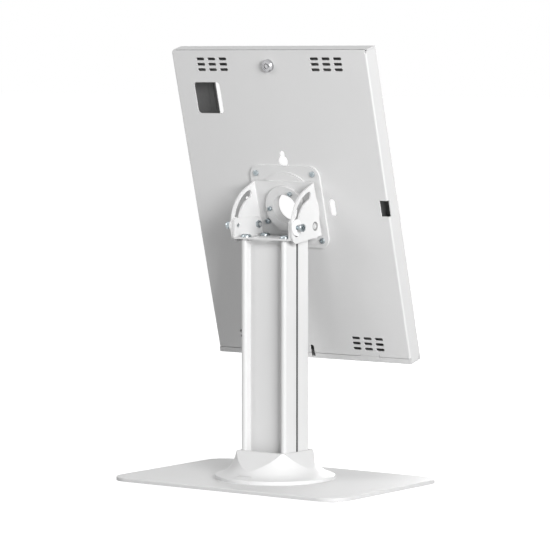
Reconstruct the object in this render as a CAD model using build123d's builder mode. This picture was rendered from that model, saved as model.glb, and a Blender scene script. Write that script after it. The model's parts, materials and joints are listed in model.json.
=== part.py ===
from build123d import *
from math import acos, atan2, cos, degrees, hypot, radians, sin
import os

os.makedirs("parts", exist_ok=True)

# Tablet security kiosk stand. Millimetres, +Z up, screen faces -Y.
# The origin is on the table, under the middle of the pillar.

# How far the head leans back in the photo pose, and where it is from its pivot.
lean_at_rest = 14.8
head_rise = 20.1
head_ahead = 10.3

# Clearances shared by the whole part.
overrun = 6.0
hole_gap = 0.1
running_gap = 0.05
seam = 0.2
tiny = 0.01
quarter_turn = 90.0

# Base plate and its feet.
base_width = 304.0
base_depth = 203.2
base_corner = 25.0
base_edge = 1.0
base_thickness = 4.0
foot_height = 0.8
foot_radius = 11.0
foot_inset = 18.0
base_top = foot_height + base_thickness

# Pillar extrusion.
pillar_width = 59.4
pillar_depth = 45.0
pillar_top = 264.0
lobe_width = 7.0
lobe_round = 3.3
channel_depth = 9.0
channel_floor = 2.0
core_round = 2.0
slit_width = 3.6
slit_depth = 1.8
slit_pocket_width = 6.4
slit_pocket_depth = 2.6
boss_inset_x = 3.8
boss_inset_y = 5.2
boss_bore = 2.4
boss_x = pillar_width / 2 - boss_inset_x
boss_y = pillar_depth / 2 - boss_inset_y

# Flared cover over the foot of the pillar.
cover_top = 35.0
cover_wall = 2.0
cover_gap = 0.45
cover_radius = 65.3
cover_side_rim = 1.9
cover_rear_rim = 6.1
cover_edge = 0.4
cover_lip_edge = 1.2
facet_foot = 14.5
facet_foot_reach = 51.5
flare_radii = (41.3, 43.6, 46.7, 51.3, 58.2, 64.0)
flare_heights = (35.0, 27.0, 20.0, 14.4, 10.4, 8.8)
cover_boss_radius = 4.0
cover_bore_depth = 5.0
cover_boss_reach = 50.0
cover_boss_turn = 45.0
cover_screw_bore = 1.3
cover_top_x = pillar_width / 2 + cover_side_rim
cover_top_y = pillar_depth / 2 + cover_rear_rim
door_width = 23.6
door_height = 7.0
door_round = 5.0
door_gap = 0.25

# Screws under the base.
base_screw_radius = 2.4
base_screw_head = 4.6
base_screw_head_height = 2.4
base_screw_length = 24.0
base_screw_socket = 3.4
base_screw_socket_depth = 1.6
cover_screw_radius = 1.25
cover_screw_head = 2.6
cover_screw_head_height = 1.4
cover_screw_length = 8.5
cover_screw_socket = 1.8
cover_screw_socket_depth = 0.9

# Fixed yoke on top of the pillar.
yoke_sheet = 2.0
yoke_overhang = 6.3
yoke_rear = 25.0
yoke_front_reach = 8.0
yoke_bend = 2.4
yoke_inner_bend = 0.5
yoke_rear_round = 3.0
pivot_forward = 18.0
pivot_rise = 14.2
lock_radius = 35.5
cable_slot_width = 30.0
cable_slot_depth = 8.0
cable_slot_round = 3.5
yoke_inner = pillar_width / 2 + yoke_overhang
yoke_outer = yoke_inner + yoke_sheet
yoke_front = pivot_forward + yoke_front_reach
pivot_height = pillar_top + pivot_rise
head_height = pivot_height + head_rise
head_forward = pivot_forward + head_ahead

# Dome head screws that hold the yoke.
yoke_screw_radius = 2.4
yoke_screw_head = 5.7
yoke_screw_head_height = 3.2
yoke_screw_crown = 2.5
yoke_screw_length = 22.0
yoke_screw_socket = 4.0
yoke_screw_socket_depth = 1.4

# Tilt bracket: a web behind the swivel, with a cheek outside each ear.
cheek_gap = 0.7
cheek_sheet = 2.0
cheek_bend = 2.8
cheek_inner_bend = 0.8
web_front = 4.0
web_top = 29.5
web_bottom = -30.0
cheek_radius = 43.8
slot_width = 8.2
slot_start = 5.0
slot_travel = 79.8
slot_play = 0.3
cheek_corner = cheek_radius - lock_radius
cheek_inner = yoke_outer + cheek_gap
cheek_outer = cheek_inner + cheek_sheet
web_rear = web_front + cheek_sheet

# Pivot bolts, their nuts and washers.
pivot_shoulder = 4.9
pivot_bore = pivot_shoulder + running_gap
pivot_recess = 0.7
pivot_shank = 2.0
pivot_tail = 3.6
pivot_dimple = 3.2
pivot_dimple_depth = 0.5
nut_across = 7.0
nut_height = 3.0
pivot_washer_radius = 8.0
pivot_washer_sheet = 0.5

# Tilt lock bolts and the white discs under them.
lock_shank = 2.15
lock_washer_radius = 8.95
lock_washer_sheet = 1.4
lock_washer_edge = 0.3
lock_hub_gap = 0.4
lock_flange_radius = 2.6
lock_flange_height = 0.8
lock_neck_radius = 2.0
lock_neck_height = 0.6
lock_cone_height = 5.0
lock_rim_radius = 4.2
lock_rim_height = 1.6
lock_socket = 2.6
lock_socket_depth = 2.2
lock_pin_radius = 0.7
lock_tip_short = 1.0

# Swivel: a disc and sleeve through the web, closed by a ring behind it.
hub_bore = 15.8
plate_side = 92.0
plate_sheet = 2.0
plate_round = 12.0
vesa_spacing = 75.0
disc_radius = 39.2
disc_rear = 3.55
sleeve_radius = 22.9
web_bore = sleeve_radius + running_gap
ring_radius = 25.5
ring_front = 6.4
ring_rear = 10.2
ring_edge = 0.3
front_washer_radius = 37.0
rear_washer_radius = 25.0
washer_bore_gap = 0.1
ring_screw_reach = 19.6
ring_screw_radius = 1.4
ring_screw_head = 2.6
ring_screw_head_height = 2.4
ring_screw_crown = 0.7
ring_screw_length = 7.0
ring_screw_socket = 2.3
ring_screw_socket_depth = 1.3
ring_screw_count = 3
ring_screw_turn = 60.0
rivet_reach = 31.0
rivet_radius = 2.0
rivet_head = 3.4
rivet_head_height = 1.4
rivet_count = 4
rivet_turn = 45.0
rivet_sink_angle = 90.0
set_screw_x = 28.0
set_screw_y = -15.8
set_screw_radius = 1.9
set_screw_head = 3.0
set_screw_head_height = 2.6
set_screw_crown = 0.9
set_screw_socket = 2.4
set_screw_socket_depth = 1.4

# Screws and clinch nuts on the 75 mm pattern.
vesa_screw_radius = 1.9
vesa_screw_head = 3.2
vesa_screw_head_height = 1.5
vesa_screw_crown = 0.6
vesa_screw_length = 6.0
vesa_screw_socket = 2.4
vesa_screw_socket_depth = 0.9
vesa_nut_across = 7.0
vesa_nut_height = 3.4

# Enclosure, measured from the rear face of its back panel.
case_width = 257.4
case_height = 349.2
case_depth = 18.8
sheet = 1.5
case_bend = 1.8
case_inner_bend = 0.3
panel_lift = 6.2
lip_top_gap = 0.6
frame_gap = 0.15
top_seam = 2.4
relief_width = 2.0
relief_height = 4.2
vent_u = 75.7
vent_drop = 15.6
vent_lift = 20.3
vent_spacing_u = 15.0
vent_spacing_w = 6.0
vent_length = 11.2
vent_width = 3.3
vent_columns = 3
vent_rows = 3
window_inset = 41.4
window_drop = 53.4
window_width = 35.0
window_height = 35.2
window_round = 4.0
keyhole_w = 51.0
keyhole_big = 6.0
keyhole_small = 3.0
keyhole_rise = 8.5
side_slot_u = 56.4
side_slot_length = 19.0
side_slot_width = 7.0
side_notch_low = -8.4
side_notch_high = 9.4
side_notch_reach = 10.8
side_notch_depth = 4.2
port_width = 5.2
port_lift = 15.2
port_notch_width = 6.2
port_notch_drop = 3.8
tongue_u = 75.6
tongue_width = 24.4
tongue_rise = 0.45
tongue_relief = 2.0
tongue_relief_width = 0.8
tab_u = 68.7
tab_width = 10.0
tab_front = 3.35
tab_drop = 4.0
tab_length = 8.2
wall_foot_round = 4.0
case_top = case_height / 2
case_bottom = -case_height / 2
panel_bottom = case_bottom + panel_lift
vent_high = case_top - vent_drop
vent_low = case_bottom + vent_lift
window_u = window_inset - case_width / 2
window_w = case_top - window_drop
port_top = case_bottom + port_lift

# Front frame.
bezel_side = 39.4
bezel_end = 37.1
screen_width = case_width - 2 * bezel_side
screen_height = case_height - 2 * bezel_end
screen_round = 6.0
gasket_width = 6.5
gasket_height = 1.5
gasket_inset = 2.2

# Foam that carries the tablet.
pad_u = 45.0
pad_w = 95.0
pad_width = 30.0
pad_length = 50.0
pad_height = 5.0
pad_round = 3.0
tablet_rim = 12.2
spacer_u = screen_width / 2 + tablet_rim
spacer_w = 60.0
spacer_length = 40.0
spacer_height = 12.0
foot_spacer_u = 40.0
foot_spacer_width = 30.0
foot_spacer_height = 19.4
foot_spacer_top = panel_bottom + foot_spacer_height

# Cam lock in the back panel.
lock_drop = 16.8
collar_radius = 7.0
collar_height = 4.6
collar_edge = 1.5
barrel_radius = 5.2
barrel_depth = 5.5
plug_radius = 4.1
plug_bore = plug_radius + running_gap
plug_recess = 0.6
plug_head_radius = 4.7
plug_head_height = 2.0
key_ring_outer = 3.2
key_ring_inner = 2.2
key_ring_depth = 3.0
key_notch = 1.2
tail_radius = 3.6
cam_front = -9.6
cam_rear = -8.1
cam_hub = 4.3
cam_reach = 9.0
cam_width = 7.0
cam_square = 3.6
lock_nut_across = 14.0
lock_nut_height = 2.8
cam_screw_radius = 1.2
cam_screw_head = 2.9
cam_screw_head_height = 1.8
cam_screw_length = 6.0
cam_screw_slot = 0.8
cam_screw_slot_depth = 0.8
catch_width = 24.0
catch_sheet = 1.5
catch_rear = -6.2
catch_rise = 5.2
catch_foot = 9.0
lock_w = case_top - lock_drop
catch_low = lock_w + catch_rise

# Head frame: local x is to the right seen from behind, local y is up the
# panel, local z points out of its rear face.
lean = radians(lean_at_rest)
head = Plane(
    origin=(0, -head_forward, head_height),
    x_dir=(-1, 0, 0),
    z_dir=(0, cos(lean), -sin(lean)),
)


def across_head(u):
    """Side view plane of the head: local x points out of the panel, local y up it."""
    return Plane(
        origin=head.from_local_coords((u, 0, 0)), x_dir=head.z_dir, z_dir=(1, 0, 0)
    )


def along_head(w):
    """Plane square to the panel's height: local x points out of the panel, local y right."""
    return Plane(
        origin=head.from_local_coords((0, w, 0)), x_dir=head.z_dir, z_dir=head.y_dir
    )


def corners_at(sketch, x):
    """The corners of a sketch that lie on one line across it."""
    return sketch.vertices().filter_by_position(Axis.X, x - tiny, x + tiny)


pivot = across_head(0).to_local_coords(Vector(0, -pivot_forward, pivot_height))


def socket_screw(head_radius, head_tall, crown, shank, length, socket, socket_deep):
    """Round head on z = 0 with its shank below and a hexagon socket on top."""
    with BuildPart() as screw:
        with BuildSketch():
            Circle(head_radius)
        extrude(amount=head_tall)
        fillet(screw.faces().sort_by(Axis.Z)[-1].edges(), crown)
        with BuildSketch():
            Circle(shank)
        extrude(amount=-length)
        with BuildSketch(Plane.XY.offset(head_tall)):
            RegularPolygon(socket / 2, 6, major_radius=False)
        extrude(amount=-socket_deep, mode=Mode.SUBTRACT)
    return screw.part


def sunk_screw(head_radius, head_tall, shank, length, socket, socket_deep):
    """Countersunk screw: its flat face on z = 0, everything else below."""
    with BuildPart() as screw:
        with BuildSketch(Plane.XZ):
            with BuildLine():
                Polyline(
                    (0, 0),
                    (head_radius, 0),
                    (shank, -head_tall),
                    (shank, -length),
                    (0, -length),
                    close=True,
                )
            make_face()
        revolve(axis=Axis.Z)
        with BuildSketch():
            RegularPolygon(socket / 2, 6, major_radius=False)
        extrude(amount=-socket_deep, mode=Mode.SUBTRACT)
    return screw.part


def hexagon_nut(across, tall, bore):
    """Nut standing on z = 0."""
    with BuildPart() as nut:
        with BuildSketch():
            RegularPolygon(across / 2, 6, major_radius=False)
            Circle(bore, mode=Mode.SUBTRACT)
        extrude(amount=tall)
    return nut.part


def save(part, name):
    part.label = name
    export_step(part, "parts/" + name + ".step")


# The stand that stays on the table.
plate_bottom = Plane(origin=(0, 0, foot_height), x_dir=(1, 0, 0), z_dir=(0, 0, -1))
boss_places = [(x, y) for x in (-boss_x, boss_x) for y in (-boss_y, boss_y)]
cover_boss_step = cover_boss_reach * sin(radians(cover_boss_turn))
cover_boss_places = [
    (x, y)
    for x in (-cover_boss_step, cover_boss_step)
    for y in (-cover_boss_step, cover_boss_step)
]
foot_places = [
    (x, y)
    for x in (foot_inset - base_width / 2, 0, base_width / 2 - foot_inset)
    for y in (foot_inset - base_depth / 2, base_depth / 2 - foot_inset)
]

with BuildPart() as base_plate:
    with BuildSketch(Plane.XY.offset(foot_height)):
        RectangleRounded(base_width, base_depth, base_corner)
    extrude(amount=base_thickness)
    fillet(base_plate.edges().group_by(Axis.Z)[-1], base_edge)
    with Locations(plate_bottom):
        with Locations(*boss_places):
            CounterSinkHole(base_screw_radius + hole_gap, base_screw_head + hole_gap)
        with Locations(*cover_boss_places):
            CounterSinkHole(cover_screw_radius + hole_gap, cover_screw_head + hole_gap)
save(base_plate.part, "base_plate")

with BuildPart() as rubber_feet:
    with BuildSketch():
        with Locations(*foot_places):
            Circle(foot_radius)
    extrude(amount=foot_height)
save(rubber_feet.part, "rubber_feet")

mouth_x = pillar_width / 2 - lobe_width
with BuildPart() as pillar:
    with BuildSketch(Plane.XY.offset(base_top)) as pillar_section:
        RectangleRounded(pillar_width, pillar_depth, lobe_round)
        with Locations((0, pillar_depth / 2), (0, -pillar_depth / 2)):
            Rectangle(2 * mouth_x, 2 * channel_depth, mode=Mode.SUBTRACT)
        RectangleRounded(
            2 * mouth_x,
            pillar_depth - 2 * (channel_depth + channel_floor),
            core_round,
            mode=Mode.SUBTRACT,
        )
        with Locations((pillar_width / 2, 0), (-pillar_width / 2, 0)):
            Rectangle(2 * slit_depth, slit_width, mode=Mode.SUBTRACT)
        pocket_x = pillar_width / 2 - slit_depth - slit_pocket_depth / 2
        with Locations((pocket_x, 0), (-pocket_x, 0)):
            Rectangle(slit_pocket_depth, slit_pocket_width, mode=Mode.SUBTRACT)
        with Locations(*boss_places):
            Circle(boss_bore, mode=Mode.SUBTRACT)
        mouths = [
            v
            for v in pillar_section.vertices()
            if abs(abs(v.X) - mouth_x) < tiny and abs(abs(v.Y) - pillar_depth / 2) < tiny
        ]
        fillet(mouths, lobe_round)
    extrude(amount=pillar_top - base_top)
save(pillar.part, "pillar")


def flare(inset):
    """The cover's solid form, drawn in and lowered by one wall: a trumpet cut by four facets."""
    lip_radius = cover_radius - inset
    curve = [(r - inset, z - inset) for r, z in zip(flare_radii, flare_heights)]
    lip_corner = (lip_radius, curve[-1][1])
    with BuildPart() as trumpet:
        with BuildSketch(Plane.XZ):
            with BuildLine():
                Spline(*curve)
                Polyline(
                    curve[-1],
                    lip_corner,
                    (lip_radius, base_top),
                    (0, base_top),
                    (0, curve[0][1]),
                    curve[0],
                )
            make_face()
        revolve(axis=Axis.Z)
    with BuildPart() as facets:
        with BuildSketch(Plane.XY.offset(cover_top - inset)):
            Rectangle(2 * (cover_top_x - inset), 2 * (cover_top_y - inset))
        with BuildSketch(Plane.XY.offset(facet_foot - inset)):
            Rectangle(2 * (facet_foot_reach - inset), 2 * (facet_foot_reach - inset))
        loft()
        with BuildSketch(Plane.XY.offset(facet_foot - inset)):
            Circle(cover_radius + overrun)
        extrude(amount=-facet_foot)
    with BuildPart() as form:
        add(trumpet.part)
        add(facets.part, mode=Mode.INTERSECT)
    return form.part


with BuildPart() as cover_blank:
    add(flare(0))
    fillet(cover_blank.faces().sort_by(Axis.Z)[-1].edges(), cover_edge)
    rim = cover_blank.edges().filter_by(GeomType.CIRCLE).filter_by(
        lambda e: abs(e.radius - cover_radius) < tiny
    )
    fillet(rim.sort_by(Axis.Z)[-1], cover_lip_edge)

with BuildPart() as cover_hollow:
    add(flare(cover_wall))
    with BuildSketch(Plane.XY.offset(base_top)):
        Circle(cover_radius - cover_wall)
    extrude(amount=-overrun)
    with BuildSketch(Plane.XY.offset(base_top)):
        Rectangle(pillar_width + 2 * cover_gap, pillar_depth + 2 * cover_gap)
    extrude(amount=cover_top - base_top + overrun)

with BuildPart() as cover_bosses:
    with BuildSketch(Plane.XY.offset(base_top)):
        with Locations(*cover_boss_places):
            Circle(cover_boss_radius)
    extrude(amount=cover_top)
    add(cover_blank.part, mode=Mode.INTERSECT)

door_plane = Plane(origin=(0, cover_radius + overrun, base_top), x_dir=(1, 0, 0), z_dir=(0, -1, 0))
with BuildPart() as base_cover:
    add(cover_blank.part)
    add(cover_hollow.part, mode=Mode.SUBTRACT)
    add(cover_bosses.part)
    with BuildSketch(door_plane):
        RectangleRounded(door_width, 2 * door_height, door_round)
    extrude(amount=cover_radius / 2, mode=Mode.SUBTRACT)
    with BuildSketch(Plane.XY.offset(base_top)):
        with Locations(*cover_boss_places):
            Circle(cover_screw_bore)
    extrude(amount=cover_bore_depth, mode=Mode.SUBTRACT)
save(base_cover.part, "base_cover")

with BuildPart() as cable_door:
    add(cover_blank.part)
    add(cover_hollow.part, mode=Mode.SUBTRACT)
    with BuildSketch(door_plane):
        RectangleRounded(
            door_width - 2 * door_gap, 2 * (door_height - door_gap), door_round - door_gap
        )
    extrude(amount=cover_radius / 2, mode=Mode.INTERSECT)
save(cable_door.part, "cable_door")

base_screw = sunk_screw(
    base_screw_head,
    base_screw_head_height,
    base_screw_radius - hole_gap,
    base_screw_length,
    base_screw_socket,
    base_screw_socket_depth,
)
with BuildPart() as pillar_base_screws:
    with Locations(plate_bottom):
        with Locations(*boss_places):
            add(base_screw)
save(pillar_base_screws.part, "pillar_base_screws")

cover_screw = sunk_screw(
    cover_screw_head,
    cover_screw_head_height,
    cover_screw_radius - hole_gap,
    cover_screw_length,
    cover_screw_socket,
    cover_screw_socket_depth,
)
with BuildPart() as cover_screws:
    with Locations(plate_bottom):
        with Locations(*cover_boss_places):
            add(cover_screw)
save(cover_screws.part, "cover_screws")

# Fixed yoke: a folded floor with an ear up each side.
lock_y = lock_radius - pivot_forward
ear_top = pivot_height + yoke_front_reach
with BuildPart() as hinge_yoke:
    for side in (-yoke_outer, yoke_inner):
        with BuildSketch(Plane.YZ.offset(side)) as ear:
            with BuildLine():
                Polyline(
                    (-yoke_front, pillar_top),
                    (yoke_rear, pillar_top),
                    (yoke_rear, ear_top),
                    (-yoke_front, ear_top),
                    close=True,
                )
            make_face()
            fillet(ear.vertices().group_by(Axis.Y)[-1].sort_by(Axis.X)[0], yoke_front_reach - tiny)
            fillet(ear.vertices().group_by(Axis.Y)[-1].sort_by(Axis.X)[-1], yoke_rear_round)
            with Locations((-pivot_forward, pivot_height)):
                Circle(pivot_shank + hole_gap, mode=Mode.SUBTRACT)
            with Locations((lock_y, pivot_height)):
                Circle(lock_shank + hole_gap, mode=Mode.SUBTRACT)
        extrude(amount=yoke_sheet)
    with BuildSketch(Plane.XY.offset(pillar_top)):
        with Locations((0, (yoke_rear - yoke_front) / 2)):
            Rectangle(2 * yoke_outer, yoke_rear + yoke_front)
    extrude(amount=yoke_sheet)
    fillet(
        hinge_yoke.edges().filter_by(Axis.Y).group_by(Axis.Z)[0], yoke_bend
    )
    fillet(
        [
            e
            for e in hinge_yoke.edges().filter_by(Axis.Y)
            if abs(abs(e.center().X) - yoke_inner) < tiny
            and abs(e.center().Z - pillar_top - yoke_sheet) < tiny
        ],
        yoke_inner_bend,
    )
    with BuildSketch(Plane.XY.offset(pillar_top)):
        with Locations(*boss_places):
            Circle(yoke_screw_radius + hole_gap)
        with Locations((0, pillar_depth / 2 - channel_depth / 2)):
            RectangleRounded(cable_slot_width, cable_slot_depth, cable_slot_round)
    extrude(amount=yoke_sheet + overrun, mode=Mode.SUBTRACT)
save(hinge_yoke.part, "hinge_yoke")

yoke_screw = socket_screw(
    yoke_screw_head,
    yoke_screw_head_height,
    yoke_screw_crown,
    yoke_screw_radius - hole_gap,
    yoke_screw_length,
    yoke_screw_socket,
    yoke_screw_socket_depth,
)
with BuildPart() as yoke_screws:
    with Locations(Plane.XY.offset(pillar_top + yoke_sheet)):
        with Locations(*boss_places):
            add(yoke_screw)
save(yoke_screws.part, "yoke_screws")

# Both sides of the hinge, seen along +X from each ear outwards.
pivot_sides = [
    Plane(origin=(s * yoke_outer, -pivot_forward, pivot_height), z_dir=(s, 0, 0)) for s in (-1, 1)
]
lock_sides = [
    Plane(origin=(s * cheek_outer, lock_y, pivot_height), z_dir=(s, 0, 0)) for s in (-1, 1)
]
shoulder_end = cheek_outer - yoke_outer - pivot_recess

with BuildPart() as pivot_bolt:
    with BuildSketch():
        Circle(pivot_shoulder)
    extrude(amount=shoulder_end)
    with BuildSketch():
        Circle(pivot_shank)
    extrude(amount=-yoke_sheet - pivot_tail)
    with BuildSketch(Plane.XY.offset(shoulder_end)):
        Circle(pivot_dimple)
    extrude(amount=-pivot_dimple_depth, mode=Mode.SUBTRACT)
with BuildPart() as pivot_bolts:
    with Locations(*pivot_sides):
        add(pivot_bolt.part)
save(pivot_bolts.part, "pivot_bolts")

pivot_nut = hexagon_nut(nut_across, nut_height, pivot_shank + hole_gap)
with BuildPart() as pivot_nuts:
    with Locations(*[side.offset(-yoke_sheet - nut_height) for side in pivot_sides]):
        add(pivot_nut)
save(pivot_nuts.part, "pivot_nuts")

with BuildPart() as pivot_washer:
    with BuildSketch():
        Circle(pivot_washer_radius)
        Circle(pivot_bore, mode=Mode.SUBTRACT)
    extrude(amount=pivot_washer_sheet)
with BuildPart() as pivot_washers:
    with Locations(*pivot_sides):
        add(pivot_washer.part)
save(pivot_washers.part, "pivot_washers")

with BuildPart() as lock_washer:
    with BuildSketch():
        Circle(lock_washer_radius)
        Circle(lock_shank + hole_gap, mode=Mode.SUBTRACT)
    extrude(amount=lock_washer_sheet)
    with BuildSketch():
        Circle(slot_width / 2 - lock_hub_gap)
        Circle(lock_shank + hole_gap, mode=Mode.SUBTRACT)
    extrude(amount=-cheek_sheet)
    chamfer(
        lock_washer.edges().filter_by(GeomType.CIRCLE).group_by(Axis.Z)[-1].sort_by(
            SortBy.RADIUS
        )[-1],
        lock_washer_edge,
    )
with BuildPart() as tilt_lock_washers:
    with Locations(*[side.offset(running_gap) for side in lock_sides]):
        add(lock_washer.part)
save(tilt_lock_washers.part, "tilt_lock_washers")

lock_tip = yoke_inner + lock_tip_short - cheek_outer - lock_washer_sheet - running_gap
neck_top = lock_flange_height + lock_neck_height
cone_top = neck_top + lock_cone_height
with BuildPart() as lock_bolt:
    with BuildSketch(Plane.XZ):
        with BuildLine():
            Polyline(
                (0, lock_tip),
                (lock_shank, lock_tip),
                (lock_shank, 0),
                (lock_flange_radius, 0),
                (lock_flange_radius, lock_flange_height),
                (lock_neck_radius, lock_flange_height),
                (lock_neck_radius, neck_top),
                (lock_rim_radius, cone_top),
                (lock_rim_radius, cone_top + lock_rim_height),
                (0, cone_top + lock_rim_height),
                close=True,
            )
        make_face()
    revolve(axis=Axis.Z)
    with BuildSketch(Plane.XY.offset(cone_top + lock_rim_height)):
        RegularPolygon(lock_socket, 6)
        Circle(lock_pin_radius, mode=Mode.SUBTRACT)
    extrude(amount=-lock_socket_depth, mode=Mode.SUBTRACT)
with BuildPart() as tilt_lock_bolts:
    with Locations(*[side.offset(running_gap + lock_washer_sheet) for side in lock_sides]):
        add(lock_bolt.part)
save(tilt_lock_bolts.part, "tilt_lock_bolts")

# Tilt bracket, drawn in the head frame. Seen from the side, the cheek's edge
# runs round the pivot, then straight to the apex and to the foot of the web.
apex = (web_front, web_top)
heel = (web_front, web_bottom)
slot_foot = (pivot.X + lock_radius, pivot.Y)
apex_reach = hypot(apex[0] - pivot.X, apex[1] - pivot.Y)
apex_angle = degrees(atan2(apex[1] - pivot.Y, apex[0] - pivot.X))
tangent_angle = apex_angle - degrees(acos(cheek_radius / apex_reach))
heel_reach = hypot(heel[0] - slot_foot[0], heel[1] - slot_foot[1])
heel_angle = degrees(atan2(heel[1] - slot_foot[1], heel[0] - slot_foot[0]))
corner_angle = heel_angle + degrees(acos(cheek_corner / heel_reach))

cheek_reach = pivot.X + cheek_radius + overrun
with BuildLine():
    slot_arc = CenterArc(
        (pivot.X, pivot.Y), lock_radius, slot_start - slot_play, slot_travel + 2 * slot_play
    )
with BuildPart() as tilt_bracket:
    with BuildSketch(along_head(web_bottom)) as channel:
        with Locations(((web_front + cheek_reach) / 2, 0)):
            Rectangle(cheek_reach - web_front, 2 * cheek_outer)
        with Locations(((web_rear + cheek_reach + overrun) / 2, 0)):
            Rectangle(
                cheek_reach + overrun - web_rear, 2 * cheek_inner, mode=Mode.SUBTRACT
            )
        fillet(corners_at(channel, web_front), cheek_bend)
        fillet(corners_at(channel, web_rear), cheek_inner_bend)
    extrude(amount=web_top - web_bottom)
    with BuildSketch(across_head(cheek_outer)):
        with BuildLine():
            crown = CenterArc((pivot.X, pivot.Y), cheek_radius, 0, tangent_angle)
            heel_arc = CenterArc(slot_foot, cheek_corner, corner_angle, -corner_angle)
            Line(crown @ 1, apex)
            Line(apex, heel)
            Line(heel, heel_arc @ 0)
        make_face()
        with Locations(((web_front + web_rear) / 2, (web_top + web_bottom) / 2)):
            Rectangle(cheek_sheet, web_top - web_bottom)
        SlotArc(slot_arc, slot_width, mode=Mode.SUBTRACT)
        with Locations((pivot.X, pivot.Y)):
            Circle(pivot_bore, mode=Mode.SUBTRACT)
    extrude(amount=2 * cheek_outer, mode=Mode.INTERSECT)
    with BuildSketch(head.offset(web_front)):
        Circle(web_bore)
        with Locations((-set_screw_x, set_screw_y), (set_screw_x, set_screw_y)):
            Circle(set_screw_radius + hole_gap)
    extrude(amount=cheek_sheet, mode=Mode.SUBTRACT)
save(tilt_bracket.part, "tilt_bracket")

with BuildPart() as swivel_washers:
    with BuildSketch(head.offset(disc_rear + running_gap)):
        Circle(front_washer_radius)
        Circle(web_bore + washer_bore_gap, mode=Mode.SUBTRACT)
    extrude(amount=web_front - disc_rear - running_gap)
    with BuildSketch(head.offset(web_rear)):
        Circle(rear_washer_radius)
        Circle(web_bore + washer_bore_gap, mode=Mode.SUBTRACT)
    extrude(amount=ring_front - web_rear - running_gap)
save(swivel_washers.part, "swivel_washers")

set_screw = socket_screw(
    set_screw_head,
    set_screw_head_height,
    set_screw_crown,
    set_screw_radius,
    cheek_sheet,
    set_screw_socket,
    set_screw_socket_depth,
)
with BuildPart() as swivel_set_screws:
    with Locations(head.offset(web_rear)):
        with Locations((-set_screw_x, set_screw_y), (set_screw_x, set_screw_y)):
            add(set_screw)
save(swivel_set_screws.part, "swivel_set_screws")

# Swivel disc with its sleeve, the ring behind it and the plate it carries.
def ring_places():
    return PolarLocations(ring_screw_reach, ring_screw_count, start_angle=ring_screw_turn)


def rivet_places():
    return PolarLocations(rivet_reach, rivet_count, start_angle=rivet_turn)


with BuildPart() as swivel_disc:
    with BuildSketch(head.offset(plate_sheet)):
        Circle(disc_radius)
    extrude(amount=disc_rear - plate_sheet)
    with BuildSketch(head.offset(disc_rear)):
        Circle(sleeve_radius)
    extrude(amount=ring_front - disc_rear)
    with BuildSketch(head.offset(plate_sheet)):
        Circle(hub_bore)
        with rivet_places():
            Circle(rivet_radius + hole_gap)
    extrude(amount=ring_front, mode=Mode.SUBTRACT)
    with BuildSketch(head.offset(ring_front)):
        with ring_places():
            Circle(ring_screw_radius + hole_gap)
    extrude(amount=plate_sheet - ring_front, mode=Mode.SUBTRACT)
save(swivel_disc.part, "swivel_disc")

with BuildPart() as hub_ring:
    with BuildSketch(head.offset(ring_front)):
        Circle(ring_radius)
        Circle(hub_bore, mode=Mode.SUBTRACT)
        with ring_places():
            Circle(ring_screw_radius + hole_gap, mode=Mode.SUBTRACT)
    extrude(amount=ring_rear - ring_front)
    ring_rim = hub_ring.edges().filter_by(GeomType.CIRCLE).sort_by(SortBy.RADIUS)[-2:]
    chamfer(ring_rim, ring_edge)
save(hub_ring.part, "hub_ring")

ring_screw = socket_screw(
    ring_screw_head,
    ring_screw_head_height,
    ring_screw_crown,
    ring_screw_radius,
    ring_screw_length,
    ring_screw_socket,
    ring_screw_socket_depth,
)
with BuildPart() as hub_ring_screws:
    with Locations(head.offset(ring_rear)):
        with ring_places():
            add(ring_screw)
save(hub_ring_screws.part, "hub_ring_screws")

with BuildPart() as vesa_plate:
    with BuildSketch(head):
        RectangleRounded(plate_side, plate_side, plate_round)
        Circle(hub_bore, mode=Mode.SUBTRACT)
        with GridLocations(vesa_spacing, vesa_spacing, 2, 2):
            Circle(vesa_screw_radius + hole_gap, mode=Mode.SUBTRACT)
        with rivet_places():
            Circle(rivet_radius + hole_gap, mode=Mode.SUBTRACT)
    extrude(amount=plate_sheet)
    with Locations(Plane(origin=head.origin, x_dir=head.x_dir, z_dir=-head.z_dir)):
        with rivet_places():
            CounterSinkHole(
                rivet_radius + hole_gap,
                rivet_head + hole_gap,
                counter_sink_angle=rivet_sink_angle,
            )
save(vesa_plate.part, "vesa_plate")

rivet_top = disc_rear - 2 * running_gap
with BuildPart() as rivet:
    with BuildSketch(Plane.XZ):
        with BuildLine():
            Polyline(
                (0, 0),
                (rivet_head, 0),
                (rivet_radius, rivet_head_height),
                (rivet_radius, rivet_top),
                (0, rivet_top),
                close=True,
            )
        make_face()
    revolve(axis=Axis.Z)
with BuildPart() as disc_rivets:
    with Locations(head.offset(running_gap)):
        with rivet_places():
            add(rivet.part)
save(disc_rivets.part, "disc_rivets")

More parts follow.
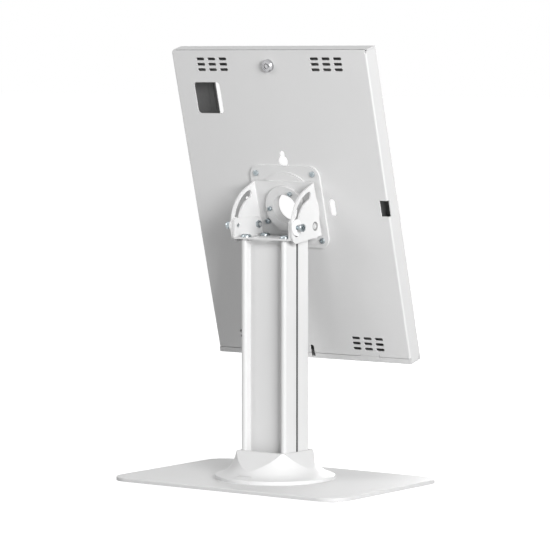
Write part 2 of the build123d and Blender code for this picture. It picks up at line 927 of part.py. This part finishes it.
# Back tray: the rear panel with a wall folded forward along each long side. The
# walls run on below the panel, with a round corner that lets the frame swing.
side_wall_bottom = case_bottom + sheet + seam
side_wall_top = case_top - sheet - seam
port_drop = port_top - panel_bottom
wall_reach = case_depth - sheet - frame_gap
with BuildPart() as back_tray:
    with BuildSketch(along_head(panel_bottom)) as channel:
        with Locations((-wall_reach / 2, 0)):
            Rectangle(wall_reach, case_width)
        with Locations((-(wall_reach + overrun + sheet) / 2, 0)):
            Rectangle(
                wall_reach + overrun - sheet, case_width - 2 * sheet, mode=Mode.SUBTRACT
            )
        fillet(corners_at(channel, 0), case_bend)
        fillet(corners_at(channel, -sheet), case_inner_bend)
    extrude(amount=side_wall_top - panel_bottom)
    with BuildSketch(head.offset(-sheet)):
        with Locations((0, (case_top + side_wall_top - sheet) / 2)):
            Rectangle(case_width - 2 * sheet, case_top - side_wall_top + sheet)
    extrude(amount=sheet)
    for side in (case_width / 2, sheet - case_width / 2):
        with BuildSketch(across_head(side)) as wall_foot:
            with Locations(
                (-(wall_reach + case_bend) / 2, (side_wall_bottom + panel_bottom + case_depth) / 2)
            ):
                Rectangle(wall_reach - case_bend, panel_bottom + case_depth - side_wall_bottom)
            fillet(
                corners_at(wall_foot, -wall_reach).sort_by(Axis.Y)[0],
                wall_foot_round,
            )
        extrude(amount=sheet)
    with BuildSketch(head.offset(-tab_front)):
        with Locations(*[(u, panel_bottom + tab_drop - tab_length / 2) for u in (-tab_u, tab_u)]):
            Rectangle(tab_width, tab_length)
    extrude(amount=sheet)
    with BuildSketch(head.offset(-tab_front)):
        with Locations(*[(u, panel_bottom + tab_drop / 2) for u in (-tab_u, tab_u)]):
            Rectangle(tab_width, tab_drop)
    extrude(amount=tab_front - sheet)
    with BuildSketch(head.offset(-sheet)):
        Circle(hub_bore)
        with GridLocations(vesa_spacing, vesa_spacing, 2, 2):
            Circle(vesa_screw_radius + hole_gap)
        for middle in (vent_high, vent_low):
            with Locations((-vent_u, middle), (vent_u, middle)):
                with GridLocations(vent_spacing_u, vent_spacing_w, vent_columns, vent_rows):
                    SlotOverall(vent_length, vent_width)
        with Locations((window_u, window_w)):
            RectangleRounded(window_width, window_height, window_round)
        for middle in (keyhole_w, -keyhole_w):
            with Locations((0, middle)):
                Circle(keyhole_big)
            with Locations((0, middle + keyhole_rise / 2)):
                SlotCenterToCenter(keyhole_rise, 2 * keyhole_small, rotation=quarter_turn)
        with Locations((-side_slot_u, 0), (side_slot_u, 0)):
            SlotOverall(side_slot_length, side_slot_width, rotation=quarter_turn)
        with Locations((0, port_top - port_drop)):
            SlotOverall(2 * port_drop, port_width, rotation=quarter_turn)
        relief_step = (tongue_width + tongue_relief_width) / 2
        for middle in (tongue_u, -tongue_u):
            with GridLocations(2 * relief_step, 0, 2, 1):
                with Locations((middle, panel_bottom)):
                    Rectangle(tongue_relief_width, 2 * tongue_relief)
        with Locations((0, lock_w)):
            Circle(barrel_radius + hole_gap)
        relief_u = (case_width - relief_width + overrun) / 2
        with Locations((-relief_u, case_top), (relief_u, case_top)):
            Rectangle(relief_width + overrun, 2 * relief_height)
    extrude(amount=sheet + overrun, mode=Mode.SUBTRACT)
    with BuildSketch(head.offset(-side_notch_depth)):
        with Locations(
            (
                (case_width - side_notch_reach + overrun) / 2,
                (side_notch_low + side_notch_high) / 2,
            )
        ):
            Rectangle(side_notch_reach + overrun, side_notch_high - side_notch_low)
    extrude(amount=side_notch_depth + overrun, mode=Mode.SUBTRACT)
save(back_tray.part, "back_tray")

vesa_screw = socket_screw(
    vesa_screw_head,
    vesa_screw_head_height,
    vesa_screw_crown,
    vesa_screw_radius,
    vesa_screw_length,
    vesa_screw_socket,
    vesa_screw_socket_depth,
)
with BuildPart() as vesa_screws:
    with Locations(head.offset(plate_sheet)):
        with GridLocations(vesa_spacing, vesa_spacing, 2, 2):
            add(vesa_screw)
save(vesa_screws.part, "vesa_screws")

vesa_nut = hexagon_nut(vesa_nut_across, vesa_nut_height, vesa_screw_radius + hole_gap)
with BuildPart() as clinch_nuts:
    with Locations(head.offset(-sheet - vesa_nut_height)):
        with GridLocations(vesa_spacing, vesa_spacing, 2, 2):
            add(vesa_nut)
save(clinch_nuts.part, "clinch_nuts")

# Foam inside the tray.
with BuildPart() as tablet_pads:
    with BuildSketch(head.offset(-sheet)):
        with GridLocations(2 * pad_u, 2 * pad_w, 2, 2):
            RectangleRounded(pad_width, pad_length, pad_round)
    extrude(amount=-pad_height)
save(tablet_pads.part, "tablet_pads")

spacer_outer = case_width / 2 - sheet - case_inner_bend
with BuildPart() as tablet_spacers:
    with BuildSketch(head.offset(-sheet)):
        with GridLocations(spacer_u + spacer_outer, 2 * spacer_w, 2, 2):
            Rectangle(spacer_outer - spacer_u, spacer_length)
        with Locations((-foot_spacer_u, (foot_spacer_top + panel_bottom) / 2)):
            Rectangle(foot_spacer_width, foot_spacer_top - panel_bottom)
        with Locations((foot_spacer_u, (foot_spacer_top + panel_bottom) / 2)):
            Rectangle(foot_spacer_width, foot_spacer_top - panel_bottom)
    extrude(amount=-spacer_height)
save(tablet_spacers.part, "tablet_spacers")

# Front frame: the bezel with a wall along its top and bottom edges, and a lip
# that turns up over the back panel's bottom edge.
case_middle = (case_top + case_bottom) / 2
bezel_rear = sheet - case_depth
top_wall_rear = -sheet - top_seam
lip_top = panel_bottom - lip_top_gap
with BuildPart() as front_frame:
    with BuildSketch(across_head(case_width / 2)) as profile:
        with BuildLine():
            Polyline(
                (-case_depth, case_bottom),
                (0, case_bottom),
                (0, lip_top),
                (-sheet, lip_top),
                (-sheet, case_bottom + sheet),
                (bezel_rear, case_bottom + sheet),
                (bezel_rear, case_top - sheet),
                (top_wall_rear, case_top - sheet),
                (top_wall_rear, case_top),
                (-case_depth, case_top),
                close=True,
            )
        make_face()
        inner_corners = corners_at(profile, bezel_rear) + [
            corners_at(profile, -sheet).sort_by(Axis.Y)[0]
        ]
        outer_corners = corners_at(profile, -case_depth) + [
            corners_at(profile, 0).sort_by(Axis.Y)[0]
        ]
        fillet(inner_corners, case_inner_bend)
        fillet(outer_corners, case_bend)
    extrude(amount=case_width)
    with BuildSketch(head.offset(-case_depth)):
        with Locations((0, case_middle)):
            RectangleRounded(screen_width, screen_height, screen_round)
    extrude(amount=sheet + overrun, mode=Mode.SUBTRACT)
    with BuildSketch(head.offset(-sheet)):
        with Locations((0, lip_top)):
            Rectangle(port_notch_width, 2 * port_notch_drop)
    extrude(amount=sheet + overrun, mode=Mode.SUBTRACT)
    with BuildSketch(head.offset(-sheet)):
        with Locations((-tongue_u, lip_top), (tongue_u, lip_top)):
            Rectangle(tongue_width, 2 * tongue_rise)
    extrude(amount=sheet)
save(front_frame.part, "front_frame")

with BuildPart() as bezel_gasket:
    with BuildSketch(head.offset(bezel_rear)):
        with Locations((0, case_middle)):
            inner_width = screen_width + 2 * gasket_inset
            inner_height = screen_height + 2 * gasket_inset
            RectangleRounded(
                inner_width + 2 * gasket_width, inner_height + 2 * gasket_width, screen_round
            )
            RectangleRounded(inner_width, inner_height, screen_round, mode=Mode.SUBTRACT)
    extrude(amount=gasket_height)
save(bezel_gasket.part, "bezel_gasket")

catch_front = catch_rear - catch_sheet
catch_top = case_top - sheet
with BuildPart() as lock_catch:
    with BuildSketch(head.offset(catch_front)):
        with Locations((0, (catch_low + catch_top) / 2)):
            Rectangle(catch_width, catch_top - catch_low)
    extrude(amount=catch_sheet)
    with BuildSketch(head.offset(catch_rear)):
        with Locations((0, catch_top - catch_sheet / 2)):
            Rectangle(catch_width, catch_sheet)
    extrude(amount=-catch_foot)
save(lock_catch.part, "lock_catch")

# Cam lock. It is drawn unlocked, with the cam turned away from the catch.
plug_seat = collar_height - plug_recess - plug_head_height
with BuildPart() as lock_housing:
    with BuildSketch(head):
        with Locations((0, lock_w)):
            Circle(collar_radius)
    extrude(amount=collar_height)
    chamfer(
        lock_housing.edges().filter_by(GeomType.CIRCLE).sort_by(Axis((0, 0, 0), head.z_dir))[-1],
        collar_edge,
    )
    with BuildSketch(head):
        with Locations((0, lock_w)):
            Circle(barrel_radius)
    extrude(amount=-barrel_depth)
    with BuildSketch(head.offset(-barrel_depth)):
        with Locations((0, lock_w)):
            Circle(plug_bore)
    extrude(amount=barrel_depth + collar_height, mode=Mode.SUBTRACT)
    with BuildSketch(head.offset(plug_seat)):
        with Locations((0, lock_w)):
            Circle(plug_head_radius + running_gap)
    extrude(amount=collar_height, mode=Mode.SUBTRACT)
save(lock_housing.part, "lock_housing")

lock_nut_shape = hexagon_nut(lock_nut_across, lock_nut_height, barrel_radius + hole_gap)
with BuildPart() as lock_nut:
    with Locations(head.offset(-sheet - lock_nut_height)):
        with Locations((0, lock_w)):
            add(lock_nut_shape)
save(lock_nut.part, "lock_nut")

with BuildPart() as lock_plug:
    with BuildSketch(head.offset(-barrel_depth - running_gap)):
        with Locations((0, lock_w)):
            Circle(plug_radius)
    extrude(amount=barrel_depth + running_gap + collar_height - plug_recess)
    with BuildSketch(head.offset(plug_seat + running_gap)):
        with Locations((0, lock_w)):
            Circle(plug_head_radius)
    extrude(amount=plug_head_height - running_gap)
    with BuildSketch(head.offset(cam_rear)):
        with Locations((0, lock_w)):
            Circle(tail_radius)
    extrude(amount=-cam_rear - barrel_depth)
    with BuildSketch(head.offset(cam_front)):
        with Locations((0, lock_w)):
            Rectangle(cam_square, cam_square)
    extrude(amount=cam_rear - cam_front)
    with BuildSketch(head.offset(collar_height)):
        with Locations((0, lock_w)):
            Circle(key_ring_outer)
            Circle(key_ring_inner, mode=Mode.SUBTRACT)
            with Locations((0, key_ring_outer)):
                Rectangle(key_notch, key_notch)
    extrude(amount=-key_ring_depth, mode=Mode.SUBTRACT)
    with BuildSketch(head.offset(cam_front)):
        with Locations((0, lock_w)):
            Circle(cam_screw_radius + hole_gap)
    extrude(amount=cam_screw_length, mode=Mode.SUBTRACT)
save(lock_plug.part, "lock_plug")

with BuildPart() as lock_cam:
    with BuildSketch(head.offset(cam_front)):
        with Locations((0, lock_w)):
            Circle(cam_hub)
            with Locations((cam_reach / 2, 0)):
                Rectangle(cam_reach, cam_width)
            Circle(cam_reach, mode=Mode.INTERSECT)
            Rectangle(cam_square + 2 * tiny, cam_square + 2 * tiny, mode=Mode.SUBTRACT)
    extrude(amount=cam_rear - cam_front)
save(lock_cam.part, "lock_cam")

with BuildPart() as cam_screw_shape:
    with BuildSketch():
        Circle(cam_screw_head)
    extrude(amount=cam_screw_head_height)
    with BuildSketch():
        Circle(cam_screw_radius)
    extrude(amount=-cam_screw_length + hole_gap)
    with BuildSketch(Plane.XY.offset(cam_screw_head_height)):
        Rectangle(2 * cam_screw_head, cam_screw_slot)
    extrude(amount=-cam_screw_slot_depth, mode=Mode.SUBTRACT)
cam_face = Plane(
    origin=head.from_local_coords((0, lock_w, cam_front)),
    x_dir=head.x_dir,
    z_dir=-head.z_dir,
)
with BuildPart() as cam_screw:
    with Locations(cam_face):
        add(cam_screw_shape.part)
save(cam_screw.part, "cam_screw")
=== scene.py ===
import json
import math

import bmesh
import bpy
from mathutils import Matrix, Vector


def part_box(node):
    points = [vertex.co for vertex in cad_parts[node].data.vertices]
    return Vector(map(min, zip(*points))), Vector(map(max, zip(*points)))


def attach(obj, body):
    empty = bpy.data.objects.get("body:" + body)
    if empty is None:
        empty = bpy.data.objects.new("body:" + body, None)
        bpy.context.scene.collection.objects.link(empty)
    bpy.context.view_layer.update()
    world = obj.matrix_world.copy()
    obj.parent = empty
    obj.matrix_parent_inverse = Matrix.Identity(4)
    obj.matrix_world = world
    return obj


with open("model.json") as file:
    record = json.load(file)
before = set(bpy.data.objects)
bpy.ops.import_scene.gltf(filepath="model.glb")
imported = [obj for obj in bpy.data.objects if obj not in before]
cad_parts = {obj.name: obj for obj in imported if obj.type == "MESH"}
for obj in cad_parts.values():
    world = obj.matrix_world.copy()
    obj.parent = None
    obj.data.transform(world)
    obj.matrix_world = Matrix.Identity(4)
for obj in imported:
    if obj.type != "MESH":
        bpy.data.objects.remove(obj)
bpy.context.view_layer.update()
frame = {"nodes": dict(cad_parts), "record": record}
nodes = frame["nodes"]
scene = bpy.context.scene
scene.view_settings.view_transform = "Standard"


# camera, fitted to the corners and screws of the photograph, and studio

camera = {
    "place": (-1.9538, 2.6930, 0.4557),
    "forward": (0.5858, -0.8075, -0.0692),
    "lens": 202.0,
    "sensor": 36.0,
    "near": 0.05,
    "far": 60,
}
studio = {
    "floorSize": 30.0,
    "floorShade": (0.30, 0.30, 0.30, 1),
    "floorGlow": 0.985,
    "worldLight": 0.08,
    "backdrop": 1.0,
    "white": (1, 1, 1, 1),
    "aim": (0, 0, 0.25),
}
lamps = {
    "keySoftbox": {"place": (-1.864, 1.076, 0.707), "size": 0.9, "power": 57},
    "fillSoftbox": {"place": (1.28, 1.53, 1.18), "size": 0.9, "power": 16},
    "frontSoftbox": {"place": (0.6, -2.1, 0.42), "size": 0.9, "power": 24},
    "topSoftbox": {"place": (0.2, 0.1, 2.6), "size": 1.2, "power": 10},
}


def addObject(name, data):
    made = bpy.data.objects.new(name, data)
    scene.collection.objects.link(made)
    return made


def lookAlong(obj, place, forward):
    obj.location = place
    obj.rotation_mode = "QUATERNION"
    obj.rotation_quaternion = Vector(forward).to_track_quat("-Z", "Y")


def addNode(tree, kind, values=None, **settings):
    made = tree.nodes.new(kind)
    for key, value in settings.items():
        setattr(made, key, value)
    for key, value in (values or {}).items():
        made.inputs[key].default_value = value
    return made


def newMaterial(name):
    made = bpy.data.materials.new(name)
    made.use_nodes = True
    made.node_tree.nodes.clear()
    return made, made.node_tree


def straightRays(tree):
    # 1 where the camera looks, also through glass or in a mirror
    rays = addNode(tree, "ShaderNodeLightPath")
    first = addNode(tree, "ShaderNodeMath", operation="MAXIMUM")
    both = addNode(tree, "ShaderNodeMath", operation="MAXIMUM")
    tree.links.new(rays.outputs["Is Camera Ray"], first.inputs[0])
    tree.links.new(rays.outputs["Is Glossy Ray"], first.inputs[1])
    tree.links.new(first.outputs[0], both.inputs[0])
    tree.links.new(rays.outputs["Is Transmission Ray"], both.inputs[1])
    return both.outputs[0]


def makeCamera():
    data = bpy.data.cameras.new("photoCamera")
    data.lens = camera["lens"]
    data.sensor_width = camera["sensor"]
    data.clip_start = camera["near"]
    data.clip_end = camera["far"]
    scene.camera = addObject("photoCamera", data)
    lookAlong(scene.camera, camera["place"], camera["forward"])


def makeFloor():
    # it takes shadows, and glows only for the camera
    mesh = bpy.data.meshes.new("studioFloor")
    bm = bmesh.new()
    bmesh.ops.create_grid(bm, x_segments=1, y_segments=1, size=studio["floorSize"])
    bm.to_mesh(mesh)
    bm.free()
    obj = addObject("studioFloor", mesh)
    mat, tree = newMaterial("paleFloor")
    out = addNode(tree, "ShaderNodeOutputMaterial")
    matt = addNode(tree, "ShaderNodeBsdfDiffuse", {"Color": studio["floorShade"]})
    glow = addNode(tree, "ShaderNodeEmission", {"Color": studio["white"]})
    strength = addNode(tree, "ShaderNodeMath", {1: studio["floorGlow"]}, operation="MULTIPLY")
    both = addNode(tree, "ShaderNodeAddShader")
    tree.links.new(straightRays(tree), strength.inputs[0])
    tree.links.new(strength.outputs[0], glow.inputs["Strength"])
    tree.links.new(matt.outputs[0], both.inputs[0])
    tree.links.new(glow.outputs[0], both.inputs[1])
    tree.links.new(both.outputs[0], out.inputs["Surface"])
    mesh.materials.append(mat)


def makeWorld():
    # white to look at, dim as a light
    world = bpy.data.worlds.new("paleRoom")
    scene.world = world
    world.use_nodes = True
    tree = world.node_tree
    tree.nodes.clear()
    white = studio["white"]
    out = addNode(tree, "ShaderNodeOutputWorld")
    soft = addNode(tree, "ShaderNodeBackground", {"Color": white, "Strength": studio["worldLight"]})
    seen = addNode(tree, "ShaderNodeBackground", {"Color": white, "Strength": studio["backdrop"]})
    mix = addNode(tree, "ShaderNodeMixShader")
    tree.links.new(straightRays(tree), mix.inputs[0])
    tree.links.new(soft.outputs[0], mix.inputs[1])
    tree.links.new(seen.outputs[0], mix.inputs[2])
    tree.links.new(mix.outputs[0], out.inputs["Surface"])


def addLamp(name, lamp):
    data = bpy.data.lights.new(name, "AREA")
    data.shape = "SQUARE"
    data.size = lamp["size"]
    data.energy = lamp["power"]
    aim = Vector(studio["aim"]) - Vector(lamp["place"])
    lookAlong(addObject(name, data), lamp["place"], aim)


makeCamera()
makeFloor()
makeWorld()
for name, lamp in lamps.items():
    addLamp(name, lamp)
print("studio ready")


# finishes: a tint that drifts over the piece and a fine grain in shine and relief

surface = {
    "cloudScale": 9.0,
    "cloudDetail": 4.0,
    "grainDetail": 2.0,
    "tintDrift": 0.04,
    "smoother": 0.05,
    "duller": 0.07,
    "reliefDepth": 0.0002,
}
looks = {
    "white_coat": {
        "name": "whitePowderCoat", "colour": (0.68, 0.68, 0.68),
        "rough": 0.42, "grain": 2600, "bump": 0.06,
    },
    "cover_plastic": {
        "name": "whiteCoverPlastic", "colour": (0.69, 0.69, 0.69),
        "rough": 0.38, "grain": 1800, "bump": 0.03,
    },
    "foot_rubber": {
        "name": "footRubber", "colour": (0.03, 0.03, 0.032),
        "rough": 0.8, "grain": 900, "bump": 0.2,
    },
    "zinc_steel": {
        "name": "zincSteel", "colour": (0.36, 0.40, 0.42),
        "rough": 0.28, "grain": 1500, "bump": 0.05, "metallic": 1.0,
    },
    "white_nylon": {
        "name": "whiteNylon", "colour": (0.8, 0.8, 0.8),
        "rough": 0.45, "grain": 1200, "bump": 0.03,
    },
    "slide_nylon": {
        "name": "slideNylon", "colour": (0.68, 0.68, 0.68),
        "rough": 0.5, "grain": 1200, "bump": 0.03,
    },
    "lock_chrome": {
        "name": "lockChrome", "colour": (0.45, 0.45, 0.46),
        "rough": 0.2, "grain": 1500, "bump": 0.03, "metallic": 1.0,
    },
    "foam": {
        "name": "openFoam", "colour": (0.05, 0.05, 0.053),
        "rough": 0.95, "grain": 700, "bump": 0.8,
    },
    # grey foam of the gasket, kept dark partly as painted shade for the window's inside; the bezel
    # shade sheets use it too
    "pale_foam": {
        "name": "greyFoamAndWindowShade", "colour": (0.20, 0.20, 0.20),
        "rough": 0.95, "grain": 700, "bump": 0.8,
    },
}


def finish(name, colour, rough, grain, bump, metallic=0.0):
    mat, tree = newMaterial(name)
    out = addNode(tree, "ShaderNodeOutputMaterial")
    shader = addNode(tree, "ShaderNodeBsdfPrincipled", {"Metallic": metallic})
    place = addNode(tree, "ShaderNodeTexCoord")
    cloud = addNode(tree, "ShaderNodeTexNoise", {
        "Scale": surface["cloudScale"], "Detail": surface["cloudDetail"],
    })
    fine = addNode(tree, "ShaderNodeTexNoise", {
        "Scale": grain, "Detail": surface["grainDetail"],
    })
    tint = addNode(tree, "ShaderNodeMapRange", {
        "To Min": 1.0 - surface["tintDrift"], "To Max": 1.0 + surface["tintDrift"],
    })
    shade = addNode(tree, "ShaderNodeVectorMath", {0: colour}, operation="SCALE")
    dull = addNode(tree, "ShaderNodeMapRange", {
        "To Min": rough - surface["smoother"], "To Max": rough + surface["duller"],
    })
    relief = addNode(tree, "ShaderNodeBump", {
        "Strength": bump, "Distance": surface["reliefDepth"],
    })
    tree.links.new(place.outputs["Object"], cloud.inputs["Vector"])
    tree.links.new(place.outputs["Object"], fine.inputs["Vector"])
    tree.links.new(cloud.outputs["Fac"], tint.inputs["Value"])
    tree.links.new(tint.outputs[0], shade.inputs["Scale"])
    tree.links.new(shade.outputs[0], shader.inputs["Base Color"])
    tree.links.new(fine.outputs["Fac"], dull.inputs["Value"])
    tree.links.new(dull.outputs[0], shader.inputs["Roughness"])
    tree.links.new(fine.outputs["Fac"], relief.inputs["Height"])
    tree.links.new(relief.outputs[0], shader.inputs["Normal"])
    tree.links.new(shader.outputs[0], out.inputs["Surface"])
    return mat


finishes = {slot: finish(**look) for slot, look in looks.items()}
for part in frame["record"]["subparts"]:
    mesh = nodes[part["node"]].data
    mesh.materials.clear()
    mesh.materials.append(finishes[part["material_slot"]])
print("finishes ready")


# strips are boxes: a span in each of three directions, placed by a function; they carry the painted
# shade laid below

def sideSpan(side, span):
    return tuple(sorted(side * value for value in span))


def evenSpan(reach):
    return (-reach, reach)


def makeStrip(name, spans, placing, finishName, body):
    mesh = bpy.data.meshes.new(name)
    bm = bmesh.new()
    bmesh.ops.create_cube(bm, size=1)
    for vert in bm.verts:
        corner = [low if value < 0 else high for value, (low, high) in zip(vert.co, spans)]
        vert.co = placing(*corner)
    bmesh.ops.recalc_face_normals(bm, faces=bm.faces)
    bm.to_mesh(mesh)
    bm.free()
    obj = addObject(name, mesh)
    mesh.materials.append(finishes[finishName])
    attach(obj, body)


# the head's own directions: across its width, up the panel, out of its rear face

head = {"forward": -0.0283, "height": 0.2983, "lean": math.radians(14.8)}


def headPoint(across, up, out):
    sine = math.sin(head["lean"])
    cosine = math.cos(head["lean"])
    forward = head["forward"] + up * sine + out * cosine
    height = head["height"] + up * cosine - out * sine
    return Vector((-across, forward, height))


# dark grey sheets on the bezel's inner face, with thin strips along its opening: painted shade,
# standing for the shadow on the bezel's inside seen through the window

paintedShade = {
    "side": (0.0985, 0.1260),
    "sideReach": 0.1705,
    "end": (0.1465, 0.1705),
    "endReach": 0.0980,
    "edge": (0.0896, 0.0912),
    "edgeReach": 0.1375,
    "depth": (-0.01725, -0.01625),
}
for name, side in (("bezelLiningLeft", -1), ("bezelLiningRight", 1)):
    spans = (sideSpan(side, paintedShade["side"]), evenSpan(paintedShade["sideReach"]), paintedShade["depth"])
    makeStrip(name, spans, headPoint, "pale_foam", "opening_frame")
for name, side in (("bezelLiningTop", 1), ("bezelLiningBottom", -1)):
    spans = (evenSpan(paintedShade["endReach"]), sideSpan(side, paintedShade["end"]), paintedShade["depth"])
    makeStrip(name, spans, headPoint, "pale_foam", "opening_frame")
for name, side in (("bezelEdgeLeft", -1), ("bezelEdgeRight", 1)):
    spans = (sideSpan(side, paintedShade["edge"]), evenSpan(paintedShade["edgeReach"]), paintedShade["depth"])
    makeStrip(name, spans, headPoint, "pale_foam", "opening_frame")
print("bezel lining ready")


# a dark foam strip in the top seam: painted shade, standing for the shadow in the seam's gap

topSeamShade = {"reach": 0.1255, "up": (0.1716, 0.1743), "depth": (-0.00385, -0.00155)}
topSeamShadeSpans = (evenSpan(topSeamShade["reach"]), topSeamShade["up"], topSeamShade["depth"])
makeStrip("topSeamShadeStrip", topSeamShadeSpans, headPoint, "foam", "opening_frame")
print("top seam ready")


# dark rubber strips in the slits down the pillar's sides: painted shade, standing for the shadow
# deep in the slits

slitShadeStrip = {"across": (0.0281, 0.0291), "reach": 0.0017}


def standPoint(x, y, z):
    return Vector((x, y, z))


pillarLow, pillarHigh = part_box("pillar")
for name, side in (("slitStripLeft", 1), ("slitStripRight", -1)):
    rise = (pillarLow[2], pillarHigh[2])
    spans = (sideSpan(side, slitShadeStrip["across"]), evenSpan(slitShadeStrip["reach"]), rise)
    makeStrip(name, spans, standPoint, "foot_rubber", "stand")
print("slit strips ready")


# the pivot bolts: a bright face in a duller rim

pivotBolt = {
    "forward": -0.018,
    "height": 0.2782,
    "face": 0.0031,
    "rim": 0.00341,
    "bright": 0.75,
    "dull": 0.30,
    "metallic": 0.6,
    "roughness": 0.34,
    "scratches": 1400,
    "darkest": 0.92,
    "lightest": 1.06,
}


def pivotFinish():
    # the tone follows the distance from the pivot's line
    axis = (0, pivotBolt["forward"], pivotBolt["height"])
    mat, tree = newMaterial("pivotBoltSteel")
    out = addNode(tree, "ShaderNodeOutputMaterial")
    shader = addNode(tree, "ShaderNodeBsdfPrincipled", {
        "Metallic": pivotBolt["metallic"], "Roughness": pivotBolt["roughness"],
    })
    place = addNode(tree, "ShaderNodeTexCoord")
    flat = addNode(tree, "ShaderNodeVectorMath", {1: (0, 1, 1)}, operation="MULTIPLY")
    reach = addNode(tree, "ShaderNodeVectorMath", {1: axis}, operation="DISTANCE")
    tone = addNode(tree, "ShaderNodeMapRange", {
        "From Min": pivotBolt["face"], "From Max": pivotBolt["rim"],
        "To Min": pivotBolt["bright"], "To Max": pivotBolt["dull"],
    })
    scratch = addNode(tree, "ShaderNodeTexNoise", {"Scale": pivotBolt["scratches"]})
    mark = addNode(tree, "ShaderNodeMapRange", {
        "To Min": pivotBolt["darkest"], "To Max": pivotBolt["lightest"],
    })
    product = addNode(tree, "ShaderNodeMath", operation="MULTIPLY")
    tree.links.new(place.outputs["Object"], flat.inputs[0])
    tree.links.new(flat.outputs[0], reach.inputs[0])
    tree.links.new(reach.outputs["Value"], tone.inputs["Value"])
    tree.links.new(place.outputs["Object"], scratch.inputs["Vector"])
    tree.links.new(scratch.outputs["Fac"], mark.inputs["Value"])
    tree.links.new(tone.outputs[0], product.inputs[0])
    tree.links.new(mark.outputs[0], product.inputs[1])
    tree.links.new(product.outputs[0], shader.inputs["Base Color"])
    tree.links.new(shader.outputs[0], out.inputs["Surface"])
    return mat


boltMesh = nodes["pivot_bolts"].data
boltMesh.materials.clear()
boltMesh.materials.append(pivotFinish())
print("pivot bolts ready")
